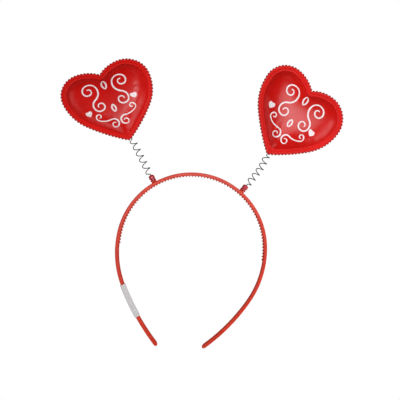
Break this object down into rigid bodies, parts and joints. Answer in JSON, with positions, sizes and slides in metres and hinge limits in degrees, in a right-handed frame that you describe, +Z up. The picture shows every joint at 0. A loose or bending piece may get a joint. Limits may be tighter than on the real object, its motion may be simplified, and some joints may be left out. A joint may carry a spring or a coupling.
{
  "type": "head bopper",
  "caption": "Toothed plastic hair band carrying puffed hearts with scalloped rims on coil springs, so that they bob; a plain sleeve wraps one leg.",
  "frame": {"origin": "on the surface that it lies on, under the middle of the whole part's outline", "axes": "+Z up, out of the hearts' printed faces and across the band's width; +Y from the tips of the band's legs to its crown and on to the hearts; +X to the right as the faces are looked at"},
  "size_m": [0.2494, 0.2586, 0.012],
  "materials": {
    "band_plastic": "satin",
    "plug_plastic": "gloss",
    "spring_steel": "satin",
    "heart_vinyl": "gloss",
    "label_paper": "matte"
  },
  "bodies": {
    "headband": {"headband": "band_plastic", "label_sleeve": "label_paper", "left_spring_plug": "plug_plastic", "right_spring_plug": "plug_plastic"},
    "left_spring": {"left_spring": "spring_steel"},
    "left_heart": {"left_heart": "heart_vinyl"},
    "right_spring": {"right_spring": "spring_steel"},
    "right_heart": {"right_heart": "heart_vinyl"}
  },
  "joints": [
    {"name": "left_sway", "type": "hinge", "parent": "headband", "child": "left_spring", "pos_m": [-0.0428, 0.02606, 0.004], "axis": [0, 0, 1], "range_deg": [-30, 30], "stiffness_Nm_per_rad": 0.04, "deforming": ["left_spring"]},
    {"name": "left_nod", "type": "hinge", "parent": "left_spring", "child": "left_heart", "pos_m": [-0.05293, 0.04131, 0.004], "axis": [0.8294, 0.5587, 0], "range_deg": [-35, 35], "stiffness_Nm_per_rad": 0.04, "deforming": ["left_spring"]},
    {"name": "right_sway", "type": "hinge", "parent": "headband", "child": "right_spring", "pos_m": [0.05222, 0.0269, 0.004], "axis": [0, 0, 1], "range_deg": [-30, 30], "stiffness_Nm_per_rad": 0.04, "deforming": ["right_spring"]},
    {"name": "right_nod", "type": "hinge", "parent": "right_spring", "child": "right_heart", "pos_m": [0.06013, 0.0418, 0.004], "axis": [0.9384, -0.3455, 0], "range_deg": [-35, 35], "stiffness_Nm_per_rad": 0.04, "deforming": ["right_spring"]}
  ]
}
